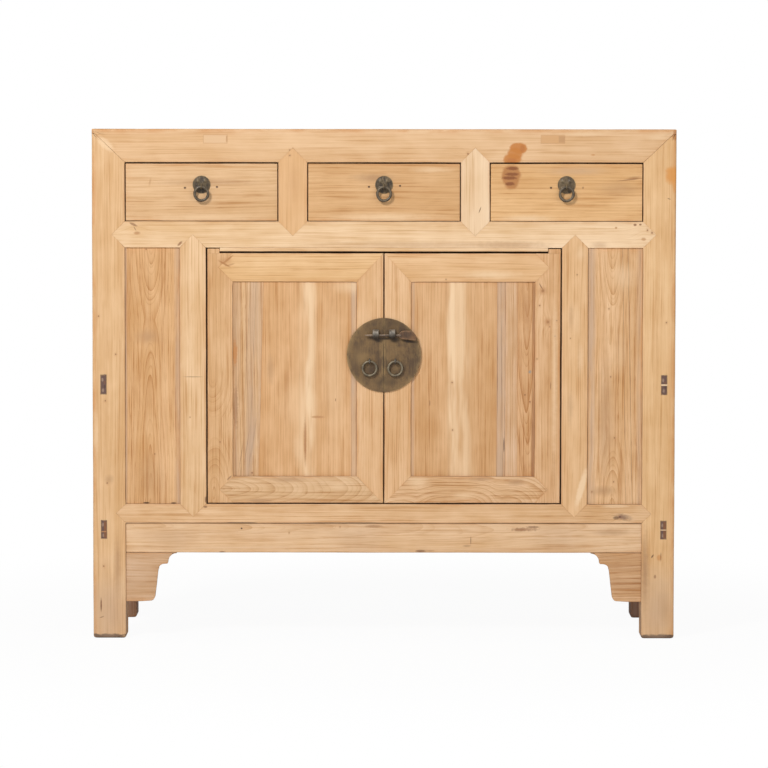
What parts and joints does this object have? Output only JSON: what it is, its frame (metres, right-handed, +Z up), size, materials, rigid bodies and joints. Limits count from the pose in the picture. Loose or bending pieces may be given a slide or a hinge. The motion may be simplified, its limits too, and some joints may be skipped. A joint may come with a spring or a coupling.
{
  "type": "chest of drawers",
  "caption": "Pale elm cabinet in a mitred frame on square posts: drawers with ring pulls over pivot-hung doors between fixed panels, round brass lock plate, shaped brackets.",
  "frame": {"origin": "on the floor, in the middle of the outer box with the metalwork included", "axes": "+X to the viewer's right along the front, +Y from the front to the back, +Z up"},
  "size_m": [1.1, 0.3838, 0.9635],
  "materials": {
    "elm_frame": "bare sanded elm, waxed",
    "elm_panel": "bare sanded elm board, waxed",
    "elm_drawer": "bare sanded elm, waxed",
    "elm_inside": "bare unpolished elm",
    "aged_brass": "aged, brown, satin",
    "dark_brass": "dark patina, satin",
    "brown_copper": "brown patina, satin"
  },
  "bodies": {
    "carcass": {"apron": "elm_frame", "back_panel": "elm_panel", "back_rail_lower": "elm_frame", "bottom_rail": "elm_frame", "door_head_strip": "elm_frame", "door_jamb_left": "elm_frame", "door_jamb_right": "elm_frame", "drawer_deck": "elm_inside", "drawer_divider_left": "elm_frame", "drawer_divider_right": "elm_frame", "floor_board": "elm_inside", "front_panel_left": "elm_panel", "front_panel_right": "elm_panel", "middle_rail": "elm_frame", "post_back_left": "elm_frame", "post_back_right": "elm_frame", "post_front_left": "elm_frame", "post_front_right": "elm_frame", "side_batten_left": "elm_inside", "side_batten_right": "elm_inside", "side_panel_left": "elm_panel", "side_panel_right": "elm_panel", "side_rail_lower_left": "elm_frame", "side_rail_lower_right": "elm_frame", "spandrel_left": "elm_frame", "spandrel_right": "elm_frame", "top_batten_left": "elm_inside", "top_batten_right": "elm_inside", "top_panel": "elm_panel", "top_rail_back": "elm_frame", "top_rail_front": "elm_frame", "top_rail_left": "elm_frame", "top_rail_right": "elm_frame"},
    "left_door": {"left_door_bottom_rail": "elm_frame", "left_door_hinge_stile": "elm_frame", "left_door_meeting_stile": "elm_frame", "left_door_panel": "elm_panel", "left_door_top_rail": "elm_frame", "left_lock_plate": "aged_brass"},
    "left_door_pull": {"left_door_ring": "dark_brass"},
    "right_door": {"right_door_bottom_rail": "elm_frame", "right_door_hinge_stile": "elm_frame", "right_door_meeting_stile": "elm_frame", "right_door_panel": "elm_panel", "right_door_top_rail": "elm_frame", "right_lock_plate": "aged_brass"},
    "right_door_pull": {"right_door_ring": "dark_brass"},
    "left_drawer": {"left_drawer_front": "elm_drawer", "left_drawer_box": "elm_inside", "left_drawer_plate": "aged_brass"},
    "left_drawer_pull": {"left_drawer_ring": "dark_brass"},
    "middle_drawer": {"middle_drawer_front": "elm_drawer", "middle_drawer_box": "elm_inside", "middle_drawer_plate": "aged_brass"},
    "middle_drawer_pull": {"middle_drawer_ring": "dark_brass"},
    "right_drawer": {"right_drawer_front": "elm_drawer", "right_drawer_box": "elm_inside", "right_drawer_plate": "aged_brass"},
    "right_drawer_pull": {"right_drawer_ring": "dark_brass"},
    "bolt": {"lock_bolt": "brown_copper"}
  },
  "joints": [
    {"name": "left_drawer_slide", "type": "slide", "parent": "carcass", "child": "left_drawer", "axis": [0, -1, 0], "range_m": [0, 0.25]},
    {"name": "middle_drawer_slide", "type": "slide", "parent": "carcass", "child": "middle_drawer", "axis": [0, -1, 0], "range_m": [0, 0.25]},
    {"name": "right_drawer_slide", "type": "slide", "parent": "carcass", "child": "right_drawer", "axis": [0, -1, 0], "range_m": [0, 0.25]},
    {"name": "left_door_hinge", "type": "hinge", "parent": "carcass", "child": "left_door", "pos_m": [-0.317, -0.1681, 0.49385], "axis": [0, 0, -1], "range_deg": [0, 110]},
    {"name": "right_door_hinge", "type": "hinge", "parent": "carcass", "child": "right_door", "pos_m": [0.317, -0.1681, 0.49385], "axis": [0, 0, 1], "range_deg": [0, 110]},
    {"name": "bolt_slide", "type": "slide", "parent": "right_door", "child": "bolt", "axis": [1, 0, 0], "range_m": [0, 0.045]},
    {"name": "left_door_ring_swing", "type": "hinge", "parent": "left_door", "child": "left_door_pull", "pos_m": [-0.025, -0.1835, 0.5265], "axis": [-1, 0, 0], "range_deg": [0, 140]},
    {"name": "right_door_ring_swing", "type": "hinge", "parent": "right_door", "child": "right_door_pull", "pos_m": [0.025, -0.1835, 0.5265], "axis": [-1, 0, 0], "range_deg": [0, 140]},
    {"name": "left_drawer_ring_swing", "type": "hinge", "parent": "left_drawer", "child": "left_drawer_pull", "pos_m": [-0.3435, -0.1848, 0.855], "axis": [-1, 0, 0], "range_deg": [0, 140]},
    {"name": "middle_drawer_ring_swing", "type": "hinge", "parent": "middle_drawer", "child": "middle_drawer_pull", "pos_m": [0, -0.1848, 0.855], "axis": [-1, 0, 0], "range_deg": [0, 140]},
    {"name": "right_drawer_ring_swing", "type": "hinge", "parent": "right_drawer", "child": "right_drawer_pull", "pos_m": [0.3435, -0.1848, 0.855], "axis": [-1, 0, 0], "range_deg": [0, 140]}
  ]
}
